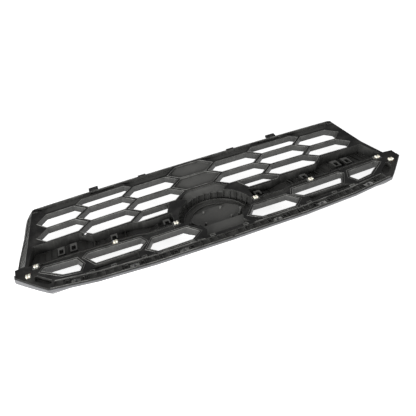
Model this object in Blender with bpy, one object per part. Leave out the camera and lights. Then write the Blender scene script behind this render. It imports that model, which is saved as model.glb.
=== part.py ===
"""Front grille of a car, lying face down: rear side up, upper edge towards +Y.

Every piece is drawn in flat lattice coordinates (u along the length, v towards the
upper edge, w towards the rear) and then bent by one function, curve_point, which
fans the columns, droops the rows and sweeps the two ends back.
"""

import math

import bmesh
import bpy
from mathutils import Vector

# ---------------------------------------------------------------- overall form
FAN = 0.6276  # how much wider each metre further down gets
ARCH = 0.1064  # droop of the rows towards the ends, metres per square metre
BOW = 0.080  # how far the ends sweep to the rear, metres per square metre
STATION = 0.030  # spacing of the cuts that let long faces bend
GAP = 0.0003  # clearance between pieces that touch
TUCK_HIGH = 0.052  # below this the face starts to lean to the rear
TUCK_LOW = 0.165  # below this it leans a little less
TUCK_OUT = (0.20, 0.12)  # extra reach downwards per metre, above and below TUCK_LOW
TUCK_UP = (0.24, 0.20)  # rise to the rear per metre, above and below TUCK_LOW
TURN = math.atan(TUCK_UP[0] / (1.0 + TUCK_OUT[0]))  # turn that lays the leaning part level

# ---------------------------------------------------------------- hexagon lattice
CELL_HALF = 0.02055  # half the height of a cell
TIP_RUN = 0.0298  # how far the pointed end of a cell reaches past its flat
CENTRE_FLAT = 0.0355  # half the flat of the middle column
COLUMN_FLAT = 0.0871  # flat of the other columns
OUTER_FLAT = 0.371  # where the flat of the outermost column stops
OUTER_TIP = 0.396  # tip of the outermost column
LAND_FLAT = 0.0050  # rear width of the level walls
LAND_SLANT = 0.0068  # rear width of the slanted walls
DRAFT = 0.0007  # how much each wall thickens on its way to the front
MESH_DEPTH = 0.017  # rear edge to front edge of the mesh walls

# ---------------------------------------------------------------- frame
TOP_EDGE = 0.0465
TOP_RIM = 0.0030
TOP_CUT = 0.0300  # upper limit of the cells under the top rail
RAIL_FLOOR = 0.0085  # depth of the rail's recess
BLANK_FLOOR = 0.0060  # depth of the two filled cells
SIDE_INNER = 0.4010
WALL = 0.0030

# ---------------------------------------------------------------- wing bar
WING_TOP_INNER = -0.0910
WING_TOP_MIDDLE = -0.0815
WING_TOP_OUTER = -0.0600
WING_DEEP = 0.0300  # front of the bar at its upper edge
WING_SHALLOW = 0.0210  # front of the bar at its lower edge
LEDGE = 0.0040  # depth of the ledge along the channel
CHANNEL_FLOOR = 0.0030
POCKET_DEEP = 0.0330
POCKET_HALF = 0.0840
POCKET_RISE = 0.0660
POCKET_MIDDLE = -0.1280

# ---------------------------------------------------------------- lower strip
STRIP_WIDTH = 0.0140
STRIP_FLOOR = 0.0070
CHAMFER = 0.0070  # how far the lower edge leans in towards the front
KNEE = 0.0090  # depth at which it starts to lean in
TRIM_FRONT = 0.0270
CORNER_FRONT = 0.0330  # the trim reaches further forward at the corners
TRIM_SIDE = 0.0025
FLANGE_FRONT = 0.0370
FLANGE_SLOPE = 1.1  # fall of the end flanges per unit of width
LOWER_FLOOR = 0.0120

# ---------------------------------------------------------------- fittings
CLIP_LONG = 0.0096
CLIP_WIDE = 0.0072
CLIP_RISE = 0.0060
TONGUE_LONG = 0.0052
TONGUE_THICK = 0.0020
RETAINER_LONG = 0.0190
RETAINER_WIDE = 0.0115
RETAINER_THICK = 0.0008
STUD_RADIUS = 0.0022
GARNISH_THICK = 0.0042
BADGE_LONG = 0.0710
BADGE_TALL = 0.0455
BADGE_MIDDLE = -0.1120
BEZEL = 0.0060

CLIP_PLACES = {
    "inner": (0.0925, -0.1262),
    "middle": (0.2270, -0.1225),
    "outer": (0.3955, -0.1150),
    "corner": (0.4120, -0.1330),
}
STUD_PLACES = {"inner": 0.1010, "middle": 0.2030, "outer": 0.3190}
LOOP_LONG = 0.0240
TAB_REACH = 0.0200
TAB_FRONT = 0.0160
TAB_THICK = 0.0030
TAB_PLACE = 0.2470
PAD_PLACE = 0.1210

BLACK = (0.020, 0.020, 0.021)
GLOSS = (0.012, 0.012, 0.013)
SATIN = (0.300, 0.305, 0.310)
CREAM = (0.860, 0.840, 0.760)
STEEL = (0.620, 0.620, 0.610)


# ---------------------------------------------------------------- bending
def tuck(v, rates):
    """How far the lower part has moved at v, at one rate down to TUCK_LOW and one beyond."""
    near = max(0.0, min(-v, TUCK_LOW) - TUCK_HIGH)
    far = max(0.0, -v - TUCK_LOW)
    return rates[0] * near + rates[1] * far


def curve_point(u, v, w):
    """Flat lattice coordinates to the curved part, turned so that the badge lies level."""
    x = u * (1.0 - FAN * v)
    y = v - tuck(v, TUCK_OUT) - ARCH * x * x
    z = w + tuck(v, TUCK_UP) + BOW * x * x
    return Vector((x, y * math.cos(TURN) - z * math.sin(TURN), y * math.sin(TURN) + z * math.cos(TURN)))


# ---------------------------------------------------------------- polygons
def clip_polygon(points, nx, ny, limit):
    """The part of a polygon where nx*u + ny*v is no more than limit."""
    kept = []
    for i, here in enumerate(points):
        there = points[(i + 1) % len(points)]
        a = nx * here[0] + ny * here[1] - limit
        b = nx * there[0] + ny * there[1] - limit
        if a <= 0.0:
            kept.append(here)
        if (a < 0.0 < b) or (b < 0.0 < a):
            t = a / (a - b)
            kept.append(
                (here[0] + t * (there[0] - here[0]), here[1] + t * (there[1] - here[1]))
            )
    return kept


def inset(points, flat, slant):
    """A convex polygon with its level sides moved in by flat and the others by slant."""
    middle_u = sum(p[0] for p in points) / len(points)
    middle_v = sum(p[1] for p in points) / len(points)
    result = list(points)
    for i, here in enumerate(points):
        there = points[(i + 1) % len(points)]
        du = there[0] - here[0]
        dv = there[1] - here[1]
        length = math.hypot(du, dv)
        nx, ny = dv / length, -du / length
        if nx * (here[0] - middle_u) + ny * (here[1] - middle_v) < 0.0:
            nx, ny = -nx, -ny
        step = slant if abs(dv) > 0.35 * length else flat
        result = clip_polygon(result, nx, ny, nx * here[0] + ny * here[1] - step)
    return result


def mirrored(points):
    return [(-u, v) for u, v in reversed(points)]


def column_sides(column):
    """Inner tip, inner flat end, outer flat end and outer tip of a column."""
    if column == 0:
        return -CENTRE_FLAT - TIP_RUN, -CENTRE_FLAT, CENTRE_FLAT, CENTRE_FLAT + TIP_RUN
    start = CENTRE_FLAT + TIP_RUN + (column - 1) * (COLUMN_FLAT + TIP_RUN)
    stop = start + COLUMN_FLAT
    if column == 3:
        return start - TIP_RUN, start, OUTER_FLAT, OUTER_TIP
    return start - TIP_RUN, start, stop, stop + TIP_RUN


def cell(column, middle):
    """Outline of one lattice cell on the +u side."""
    tip_in, flat_in, flat_out, tip_out = column_sides(column)
    return [
        (tip_in, middle),
        (flat_in, middle - CELL_HALF),
        (flat_out, middle - CELL_HALF),
        (tip_out, middle),
        (flat_out, middle + CELL_HALF),
        (flat_in, middle + CELL_HALF),
    ]


def ellipse(middle_u, middle_v, radius_u, radius_v, count, start=0.0, turn=2.0 * math.pi):
    steps = count if turn > 6.28 else count - 1
    return [
        (
            middle_u + radius_u * math.cos(start + turn * i / steps),
            middle_v + radius_v * math.sin(start + turn * i / steps),
        )
        for i in range(count)
    ]


def rectangle(u, v, long, wide):
    return [
        (u - long / 2, v - wide / 2),
        (u + long / 2, v - wide / 2),
        (u + long / 2, v + wide / 2),
        (u - long / 2, v + wide / 2),
    ]


def offset_path(points, steps):
    """A polyline moved to its left, each point by its own step."""
    moved = []
    for i, here in enumerate(points):
        before = points[max(i - 1, 0)]
        after = points[min(i + 1, len(points) - 1)]
        normals = []
        for start, stop in ((before, here), (here, after)):
            length = math.hypot(stop[0] - start[0], stop[1] - start[1])
            if length > 0.0:
                normals.append(((start[1] - stop[1]) / length, (stop[0] - start[0]) / length))
        nx = sum(n[0] for n in normals)
        ny = sum(n[1] for n in normals)
        size = math.hypot(nx, ny)
        cosine = (nx * normals[0][0] + ny * normals[0][1]) / size
        step = steps[i] / cosine
        moved.append((here[0] + nx / size * step, here[1] + ny / size * step))
    return moved


# ---------------------------------------------------------------- solids
def area(points):
    total = 0.0
    for i, here in enumerate(points):
        there = points[(i + 1) % len(points)]
        total += here[0] * there[1] - there[0] * here[1]
    return total / 2


class Shape:
    """A mesh under construction, in flat coordinates."""

    def __init__(self):
        self.mesh = bmesh.new()

    def loft(self, rings):
        """A closed solid through rings of points, the first ring lowest."""
        flat = [(p[0], p[1]) for p in rings[0]]
        if area(flat) < 0.0:
            rings = [list(reversed(ring)) for ring in rings]
        rows = [[self.mesh.verts.new(p) for p in ring] for ring in rings]
        count = len(rows[0])
        self.mesh.faces.new(list(reversed(rows[0])))
        self.mesh.faces.new(rows[-1])
        for low, high in zip(rows, rows[1:]):
            for i in range(count):
                j = (i + 1) % count
                self.mesh.faces.new((low[i], low[j], high[j], high[i]))

    def prism(self, points, low, high):
        """A polygon raised from low to high; either may be a function of u and v."""
        lower = low if callable(low) else (lambda u, v: low)
        upper = high if callable(high) else (lambda u, v: high)
        self.loft(
            [
                [(u, v, lower(u, v)) for u, v in points],
                [(u, v, upper(u, v)) for u, v in points],
            ]
        )

    def both(self, points, low, high):
        """The same prism on the left and the right."""
        self.prism(points, low, high)
        self.prism(mirrored(points), low, high)

    def bar(self, start, stop, thick, low, high):
        """An upright wall between two points."""
        du, dv = stop[0] - start[0], stop[1] - start[1]
        length = math.hypot(du, dv)
        nu, nv = -dv / length * thick / 2, du / length * thick / 2
        self.prism(
            [
                (start[0] - nu, start[1] - nv),
                (stop[0] - nu, stop[1] - nv),
                (stop[0] + nu, stop[1] + nv),
                (start[0] + nu, start[1] + nv),
            ],
            low,
            high,
        )

    def sweep(self, path, sections):
        """A closed solid whose section, as (step to the left, w), follows a path."""
        rows = []
        for k in range(len(sections[0])):
            line = offset_path(path, [section[k][0] for section in sections])
            rows.append([(u, v, section[k][1]) for (u, v), section in zip(line, sections)])
        stations = [[self.mesh.verts.new(row[i]) for row in rows] for i in range(len(path))]
        count = len(rows)
        self.mesh.faces.new(stations[0])
        self.mesh.faces.new(list(reversed(stations[-1])))
        for here, there in zip(stations, stations[1:]):
            for k in range(count):
                j = (k + 1) % count
                self.mesh.faces.new((here[k], there[k], there[j], here[j]))
        bmesh.ops.recalc_face_normals(self.mesh, faces=self.mesh.faces)

    def both_bars(self, start, stop, thick, low, high):
        self.bar(start, stop, thick, low, high)
        self.bar((-start[0], start[1]), (-stop[0], stop[1]), thick, low, high)


def temporary(shape, name):
    mesh = bpy.data.meshes.new(name)
    shape.mesh.to_mesh(mesh)
    shape.mesh.free()
    thing = bpy.data.objects.new(name, mesh)
    bpy.context.scene.collection.objects.link(thing)
    return thing


def combine(base, tool, operation):
    """Applies one exact Boolean and keeps the result in base."""
    modifier = base.modifiers.new("join", "BOOLEAN")
    modifier.operation = operation
    modifier.solver = "EXACT"
    modifier.object = tool
    modifier.use_self = True
    bpy.context.view_layer.update()
    graph = bpy.context.evaluated_depsgraph_get()
    result = bpy.data.meshes.new_from_object(base.evaluated_get(graph))
    base.modifiers.remove(modifier)
    base.data = result
    bpy.data.objects.remove(tool)


def material(name, colour, roughness, metallic):
    made = bpy.data.materials.new(name)
    made.use_nodes = True
    shader = made.node_tree.nodes["Principled BSDF"]
    shader.inputs["Base Color"].default_value = (*colour, 1.0)
    shader.inputs["Roughness"].default_value = roughness
    shader.inputs["Metallic"].default_value = metallic
    made.diffuse_color = (*colour, 1.0)
    return made


def finish(thing, name, colour, roughness, metallic, smooth=False, stations=True):
    """Cuts long faces at the stations, bends the mesh and names the piece."""
    work = bmesh.new()
    work.from_mesh(thing.data)
    bmesh.ops.remove_doubles(work, verts=work.verts, dist=1e-6)
    bmesh.ops.triangulate(work, faces=work.faces, ngon_method="BEAUTY")
    if stations:
        span = max(abs(v.co.x) for v in work.verts)
        count = int(span / STATION)
        cuts = [((i * STATION + 0.00037, 0.0, 0.0), (1.0, 0.0, 0.0)) for i in range(-count, count + 1)]
        cuts += [((0.0, -v, 0.0), (0.0, 1.0, 0.0)) for v in (TUCK_HIGH, TUCK_LOW)]
        for place, way in cuts:
            bmesh.ops.bisect_plane(
                work,
                geom=work.verts[:] + work.edges[:] + work.faces[:],
                dist=1e-6,
                plane_co=place,
                plane_no=way,
            )
        bmesh.ops.triangulate(work, faces=work.faces, ngon_method="BEAUTY")
    bmesh.ops.dissolve_degenerate(work, dist=2e-6, edges=work.edges)
    bmesh.ops.triangulate(work, faces=work.faces, ngon_method="BEAUTY")
    for vert in work.verts:
        vert.co = curve_point(*vert.co) + ORIGIN
    bmesh.ops.recalc_face_normals(work, faces=work.faces)
    for face in work.faces:
        face.smooth = smooth
    work.to_mesh(thing.data)
    work.free()
    thing.data.materials.clear()
    thing.data.materials.append(material(name + "_surface", colour, roughness, metallic))
    thing.name = name
    thing.data.name = name
    return thing


# ---------------------------------------------------------------- lines of the part
def bottom_edge():
    """Lower edge of the frame on the +u side, from the middle outwards."""
    return [(u, bottom_at(u)) for u in (0.0, 0.080, 0.160, 0.218, 0.276, 0.330, 0.372)]


def side_edge():
    """End of the frame on the +u side, from the lower corner to the top corner."""
    return [
        (0.4380, -0.1250),
        (0.4400, -0.1060),
        (0.4360, -0.0650),
        (0.4258, -0.0150),
        (0.4225, 0.0220),
        (0.4200, 0.0330),
        (0.4110, 0.0420),
        (0.3970, TOP_EDGE),
    ]


def bottom_at(u):
    """v of the lower edge at a distance u from the middle."""
    points = [(0.0, -0.2120), (0.160, -0.2090), (0.276, -0.1990), (0.372, -0.1815)] + side_edge()[:1]
    u = abs(u)
    for (u0, v0), (u1, v1) in zip(points, points[1:]):
        if u <= u1:
            return v0 + (v1 - v0) * (u - u0) / (u1 - u0)
    return points[-1][1]


def wing_top():
    """Upper edge of the wing bar on the +u side, from the badge outwards."""
    _, _, flat1, tip1 = column_sides(1)
    _, _, flat2, tip2 = column_sides(2)
    return [
        (0.070, WING_TOP_INNER),
        (flat1 - 0.002, WING_TOP_INNER),
        (flat1 + 0.027, WING_TOP_MIDDLE),
        (flat2 + 0.002, WING_TOP_MIDDLE + 0.002),
        (tip2, WING_TOP_OUTER),
        (0.4080, WING_TOP_OUTER + 0.004),
    ]


def wing_bottom():
    """Lower edge of the wing bar on the +u side, from the end inwards."""
    return [
        (0.4200, -0.1195),
        (0.4000, -0.1220),
        (0.3120, -0.1285),
        (0.3020, -0.1250),
        (0.1730, -0.1320),
        (0.1530, -0.1438),
        (0.0700, -0.1438),
    ]


def wing_front(u, v):
    """w of the wing bar's front face."""
    t = (v - WING_TOP_INNER) / (WING_TOP_INNER + 0.1438)
    return -WING_DEEP - (WING_DEEP - WING_SHALLOW) * t


def slots():
    """The three openings under the wing bar on the +u side."""
    _, _, flat_out, _ = column_sides(1)
    top, low = -7.0 * CELL_HALF - LAND_FLAT / 2, -9.0 * CELL_HALF + LAND_FLAT / 2
    first = [
        (0.0570, -0.1670),
        (0.0770, low),
        (flat_out - 0.0020, low),
        (0.1680, -0.1670),
        (flat_out - 0.0005, top),
        (0.0770, top),
    ]
    second = [
        (0.1680, -0.1470),
        (0.1840, -0.1600),
        (0.2750, -0.1575),
        (0.2940, -0.1330),
        (0.2880, -0.1280),
        (0.1760, -0.1345),
    ]
    third = [
        (0.3020, -0.1490),
        (0.3090, -0.1630),
        (0.3430, -0.1570),
        (0.3840, -0.1305),
        (0.3800, -0.1255),
        (0.3130, -0.1315),
    ]
    return [first, second, third]


def open_cells():
    """The openings of the mesh on the +u side, as (cell, limit above, limit below)."""
    rows = CELL_HALF
    return [
        (cell(1, 0.0), None, None),
        (cell(1, -2 * rows), None, None),
        (cell(1, -4 * rows), None, WING_TOP_INNER),
        (cell(2, rows), TOP_CUT, None),
        (cell(2, -rows), None, None),
        (cell(2, -3 * rows), None, WING_TOP_MIDDLE),
        (cell(3, 0.0), None, None),
        (cell(3, -2 * rows), None, WING_TOP_OUTER),
    ]


def opening(points, above, below):
    """A cell reduced to the gap between its walls."""
    points = inset(points, LAND_FLAT / 2, LAND_SLANT / 2)
    if above is not None:
        points = clip_polygon(points, 0.0, 1.0, above)
    if below is not None:
        points = clip_polygon(points, 0.0, -1.0, -(below + WALL))
    if below == WING_TOP_INNER:
        points = clip_polygon(points, -1.0, -0.52, -0.0532)
    return points


def arch(grow):
    """The badge pocket's outline, grown outwards by grow."""
    upper = ellipse(0.0, POCKET_MIDDLE, POCKET_HALF + grow, POCKET_RISE + grow, 21, 0.0, math.pi)
    foot = -0.1520 - grow
    return upper + [
        (-POCKET_HALF * 0.80 - grow, -0.1440),
        (-0.0520 - grow, foot),
        (0.0520 + grow, foot),
        (POCKET_HALF * 0.80 + grow, -0.1440),
    ]


def panel():
    """The flat panel between the badge pocket and the lower strip."""
    return [(-0.0470, -0.1860), (0.0470, -0.1860), (0.0400, -0.1700), (0.0500, -0.1480), (-0.0500, -0.1480), (-0.0400, -0.1700)]


def lean(u):
    """How far the lower edge leans in at a distance u from the middle."""
    return CHAMFER * max(0.08, min(1.0, (0.450 - abs(u)) / 0.110))


def flange_fall(u, v):
    """How far the end flange has fallen towards the front at a point."""
    return (abs(u) - 0.4040 - 0.11 * (0.0300 - v)) * FLANGE_SLOPE


def knee(u):
    return -MESH_DEPTH + (MESH_DEPTH - KNEE) * lean(u) / CHAMFER


def channel():
    """The wing bar's hollow on the +u side."""
    upper = [(u, v - WALL) for u, v in wing_top()]
    upper[0] = (0.0920, upper[0][1])
    upper[-1] = (0.4040, upper[-1][1])
    lower = [(0.4120, -0.1080), (0.3000, -0.1130), (0.1760, -0.1180), (0.1560, -0.1240), (0.0920, -0.1240)]
    return upper + lower


ORIGIN = Vector((0.0, 0.0, 0.0))


# ---------------------------------------------------------------- main moulding
def build_body():
    edge = bottom_edge() + side_edge()
    outline = edge + mirrored(edge)[:-1]
    low_line = [p for p in edge if p[1] < -0.100]
    path = mirrored(low_line)[:-1] + low_line
    leaned = offset_path(path, [lean(p[0]) for p in path])
    upper = [p for p in outline if p[1] >= -0.100]
    middle_u = len([p for p in upper if p[0] > 0.0])
    ring = path + upper[:middle_u] + upper[middle_u:]
    front = leaned + upper[:middle_u] + upper[middle_u:]
    base = Shape()
    base.loft(
        [
            [(u, v, -MESH_DEPTH) for u, v in front],
            [(u, v, knee(u) if v < -0.100 else -KNEE) for u, v in ring],
            [(u, v, 0.0) for u, v in ring],
        ]
    )
    body = temporary(base, "body")

    wing = Shape()
    wing.both(wing_top() + wing_bottom(), wing_front, -0.0012)
    combine(body, temporary(wing, "wing"), "UNION")
    badge = Shape()
    badge.prism(arch(WALL), -POCKET_DEEP, -0.0016)
    combine(body, temporary(badge, "badge"), "UNION")
    flanges = Shape()
    flanges.both(
        [(0.3990, -0.0600), (0.4150, -0.1060), (0.4398, -0.1055), (0.4354, -0.0650), (0.4252, -0.0150),
         (0.4219, 0.0220), (0.4194, 0.0327), (0.4104, 0.0414), (0.3980, 0.0440)],
        lambda u, v: -FLANGE_FRONT - 0.14 * min(0.0, v + 0.0150),
        -0.0020,
    )
    combine(body, temporary(flanges, "flanges"), "UNION")

    hollow = Shape()
    hollow.both(channel(), lambda u, v: wing_front(u, v) + CHANNEL_FLOOR, 0.02)
    hollow.prism(arch(0.0), -POCKET_DEEP + CHANNEL_FLOOR, 0.02)
    for points, above in (
        (cell(0, CELL_HALF), TOP_EDGE - TOP_RIM),
        (cell(0, -CELL_HALF), None),
    ):
        shape = opening(points, above, None)
        hollow.prism(shape, -BLANK_FLOOR, 0.02)
    for points in (cell(1, 2 * CELL_HALF), cell(3, 2 * CELL_HALF)):
        shape = inset(points, LAND_FLAT / 2, LAND_SLANT / 2)
        shape = clip_polygon(shape, 0.0, 1.0, TOP_EDGE - TOP_RIM)
        shape = clip_polygon(shape, 1.0, 0.0, 0.3920)
        hollow.both(shape, lambda u, v: -0.0015 - (v - 0.020) / 0.024 * RAIL_FLOOR, 0.02)
    rail = [(0.1930, 0.0365), (0.2590, 0.0365), (0.2560, TOP_EDGE - TOP_RIM), (0.1960, TOP_EDGE - TOP_RIM)]
    hollow.both(rail, -RAIL_FLOOR, 0.02)
    hollow.prism(panel(), -0.0100, 0.02)
    combine(body, temporary(hollow, "hollow"), "DIFFERENCE")
    brow = Shape()
    shape = inset(cell(0, -3 * CELL_HALF), LAND_FLAT / 2, LAND_SLANT / 2)
    brow.prism(shape, lambda u, v: -0.0040 + (v + 0.0430) * 0.25, 0.02)
    sides = [(0.4018, 0.0600), (0.4135, -0.0500), (0.4194, -0.1040), (0.5000, -0.1100), (0.5000, 0.0600)]
    brow.both(sides, lambda u, v: 0.0005 - flange_fall(u, v), 0.02)
    combine(body, temporary(brow, "brow"), "DIFFERENCE")
    trough = Shape()
    flange = [
        (0.4055, 0.0320),
        (0.4148, -0.0500),
        (0.4205, -0.1010),
        (0.4375, -0.1035),
        (0.4325, -0.0650),
        (0.4210, -0.0150),
        (0.4165, 0.0220),
        (0.4140, 0.0320),
    ]
    trough.both(flange, lambda u, v: -0.0030 - flange_fall(u, v), 0.02)
    combine(body, temporary(trough, "trough"), "DIFFERENCE")

    lower = Shape()
    knots = [0.0, 0.080, 0.160, 0.218, 0.276, 0.330, 0.362]
    strip = [(u, bottom_at(u) + WALL) for u in knots]
    strip += [(u, bottom_at(u) + WALL + STRIP_WIDTH) for u in reversed(knots)]
    whole = strip[: len(knots)] + strip[len(knots):-1]
    left = mirrored(strip)
    lower.prism(
        whole + [(0.0, bottom_at(0) + WALL + STRIP_WIDTH)] + left[1:-1],
        -STRIP_FLOOR,
        0.02,
    )
    lower.both(
        [(0.1900, -0.1665), (0.2740, -0.1645), (0.2900, -0.1690), (0.2900, -0.1730), (0.1900, -0.1825)],
        -LOWER_FLOOR,
        0.02,
    )
    lower.both(
        [(0.3660, -0.1600), (0.3940, -0.1380), (0.4000, -0.1380), (0.3990, -0.1500), (0.3760, -0.1690), (0.3660, -0.1690)],
        -0.0140,
        0.02,
    )
    ledge = [(0.4000, -0.1115), (0.4000, -0.1170), (0.3020, -0.1225), (0.1700, -0.1290), (0.1540, -0.1400),
             (0.1000, -0.1400), (0.1000, -0.1272), (0.1580, -0.1272), (0.1780, -0.1212), (0.3000, -0.1160)]
    lower.both(ledge, -LEDGE, 0.02)
    combine(body, temporary(lower, "lower"), "DIFFERENCE")

    holes = Shape()
    for points, above, below in open_cells():
        rear = opening(points, above, below)
        front = inset(rear, DRAFT, DRAFT)
        if len(rear) != len(front):
            front = rear
        rings = [[(u, v, -0.06) for u, v in front], [(u, v, 0.02) for u, v in rear]]
        holes.loft(rings)
        holes.loft([[(-u, v, w) for u, v, w in reversed(ring)] for ring in rings])
    for points in slots():
        holes.both(points, -0.06, 0.02)
    combine(body, temporary(holes, "holes"), "DIFFERENCE")

    seats = Shape()
    for place in CLIP_PLACES.values():
        seats.both(rectangle(place[0], place[1], CLIP_LONG + 0.0012, CLIP_WIDE + 0.0012), -0.0110, 0.02)
    for u in STUD_PLACES.values():
        v = bottom_at(u) + WALL + STRIP_WIDTH / 2
        seats.both(ellipse(u, v, STUD_RADIUS + GAP, STUD_RADIUS + GAP, 16), -0.06, 0.02)
    combine(body, temporary(seats, "seats"), "DIFFERENCE")
    passages = Shape()
    for place in CLIP_PLACES.values():
        shape = rectangle(place[0], place[1], TONGUE_LONG + 2 * GAP, TONGUE_THICK + 2 * GAP)
        passages.both(shape, -0.06, -0.0100)
    combine(body, temporary(passages, "passages"), "DIFFERENCE")

    ribs = Shape()
    for u, top, low in ((0.1250, -0.0900, -0.1250), (0.1980, -0.0815, -0.1190), (0.2680, -0.0795, -0.1160)):
        ribs.both_bars((u, top), (u + 0.004, low), 0.0022,
                       lambda a, b: wing_front(a, b) + 0.001, lambda a, b: wing_front(a, b) + 0.0085)
    for u, v in ((0.1080, -0.1080), (0.2260, -0.1010)):
        ribs.both(rectangle(u, v, 0.0150, 0.0130), lambda a, b: wing_front(a, b) + 0.001, -0.0060)
    for u in (0.3150, 0.3420):
        ribs.both(rectangle(u, -0.0900, 0.0150, 0.0200), lambda a, b: wing_front(a, b) + 0.001, -0.0080)
    for i in range(9):
        v = 0.024 - 0.0135 * i
        inner = 0.4070 + (0.0300 - v) * 0.105
        outer = 0.4160 + max(0.0, 0.012 - v) * 0.235
        ribs.both_bars((inner, v + 0.002), (outer, v - 0.002), 0.0016,
                       lambda a, b: -0.0040 - flange_fall(a, b),
                       lambda a, b: -0.0010 - flange_fall(a, b))
    for u in (0.0300, 0.1520, 0.1760, 0.2600, 0.3020):
        v = bottom_at(u) + WALL
        ribs.both_bars((u, v - 0.001), (u, v + STRIP_WIDTH + 0.001), 0.0020, -STRIP_FLOOR - 0.001, -0.0020)
    plate = [(-0.050, -0.1480), (0.050, -0.1480), (0.060, -0.1120), (0.038, -0.0960),
             (-0.018, -0.0960), (-0.024, -0.1010), (-0.042, -0.1010), (-0.060, -0.1200)]
    ribs.prism(plate, -POCKET_DEEP + 0.0010, -POCKET_DEEP + 0.0090)
    ribs.both_bars((0.0440, -0.1440), (0.0560, -0.1300), 0.0030, -POCKET_DEEP + 0.001, -0.0140)
    tab_v = TOP_EDGE + TAB_REACH / 2 - 0.0010
    ribs.both(rectangle(TAB_PLACE, tab_v, LOOP_LONG - 0.0020, TAB_REACH + 0.0020), -TAB_FRONT, TAB_THICK - TAB_FRONT)
    ribs.both(rectangle(PAD_PLACE, TOP_EDGE - 0.0010, 0.0200, 0.0060), -0.0060, 0.0014)
    ribs.both(rectangle(0.3960, 0.0380, 0.0120, 0.0080), -0.0150, 0.0025)
    for u, height in ((0.0640, 0.009), (0.1640, 0.009), (0.2960, 0.009)):
        v = bottom_at(u) + WALL + STRIP_WIDTH + 0.0035
        ribs.both(rectangle(u, v, 0.0110, 0.0040), -0.0120, 0.0035)
    combine(body, temporary(ribs, "ribs"), "UNION")
    windows = Shape()
    for u, v in ((0.1080, -0.1080), (0.2260, -0.1010)):
        windows.both(rectangle(u, v - 0.0030, 0.0090, 0.0100), -0.0150, 0.02)
    for u in (0.3150, 0.3420):
        windows.both(rectangle(u, -0.0920, 0.0090, 0.0120), -0.0180, 0.02)
    for i in range(4):
        windows.both(rectangle(0.1900 + 0.0080 * i, -0.1180 + 0.0004 * i, 0.0050, 0.0018), -0.0100, 0.02)
        windows.both(rectangle(0.1120 + 0.0080 * i, -0.1256, 0.0050, 0.0018), -0.0100, 0.02)
    windows.both([(0.2760, -0.0700), (0.2860, -0.0740), (0.2960, -0.0690), (0.2870, -0.0640)], -0.0100, 0.02)
    windows.both(rectangle(TAB_PLACE, TOP_EDGE + TAB_REACH * 0.55, 0.0100, 0.0080), -0.0300, 0.0)
    combine(body, temporary(windows, "windows"), "DIFFERENCE")
    return finish(body, "grille_body", BLACK, 0.55, 0.0)


# ---------------------------------------------------------------- front trim
def build_wing_garnish(side, name):
    """Gloss cover on the front of the wing bar, with one tongue per clip."""
    points = wing_top() + wing_bottom()
    points = [(max(u, 0.0905), v) for u, v in points]
    points[0] = (0.0905, WING_TOP_INNER)
    top = [(u, v, wing_front(u, v) - GAP) for u, v in points]
    middle_v = -0.1080
    low = []
    for u, v in points:
        squeeze = 0.86
        low.append((u * 0.985 + 0.0025, middle_v + (v - middle_v) * squeeze, wing_front(u, v) - GARNISH_THICK))
    shape = Shape()
    shape.loft([low, top])
    thing = temporary(shape, name)
    tongues = Shape()
    for place in CLIP_PLACES.values():
        if place[1] < -0.130:
            continue
        tongues.prism(
            rectangle(place[0], place[1], TONGUE_LONG, TONGUE_THICK),
            lambda u, v: wing_front(u, v) - GAP - 0.001,
            -0.0015,
        )
    combine(thing, temporary(tongues, "tongues"), "UNION")
    if side < 0:
        for vert in thing.data.vertices:
            vert.co.x = -vert.co.x
        thing.data.flip_normals()
    return finish(thing, name, GLOSS, 0.15, 0.0)


def build_lower_garnish():
    """Satin trim round the lower edge, held by studs and at the corners by clips."""
    half = bottom_edge()[1:] + side_edge()[:1] + [(0.4388, -0.1170)]
    path = [(-u, v) for u, v in reversed(half)] + bottom_edge()[:1] + half
    reach = [0.0170] * 7 + [0.0150, 0.0060]
    reach = list(reversed(reach[1:])) + reach
    sections = []
    for (u, v), inner in zip(path, reach):
        turn = min(lean(u) + 0.0040, inner - 0.0015)
        front = -CORNER_FRONT if 0.36 < abs(u) < 0.4385 else -TRIM_FRONT
        sections.append(
            [
                (-TRIM_SIDE, -0.0015),
                (-TRIM_SIDE, knee(u)),
                (turn, front),
                (inner, front),
                (inner, -MESH_DEPTH - GAP),
                (lean(u) - 0.0001, -MESH_DEPTH - GAP),
                (-GAP, knee(u) - GAP),
                (-GAP, -0.0015),
            ]
        )
    trim = Shape()
    trim.sweep(path, sections)
    thing = temporary(trim, "lower_garnish")
    studs = Shape()
    for u in STUD_PLACES.values():
        v = bottom_at(u) + WALL + STRIP_WIDTH / 2
        studs.both(ellipse(u, v, STUD_RADIUS, STUD_RADIUS, 16), -MESH_DEPTH - 0.002, -0.0030)
    place = CLIP_PLACES["corner"]
    studs.both(rectangle(place[0], place[1], TONGUE_LONG, TONGUE_THICK), -MESH_DEPTH - 0.002, -0.0015)
    combine(thing, temporary(studs, "studs"), "UNION")
    return finish(thing, "lower_garnish", SATIN, 0.35, 0.6)


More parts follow.
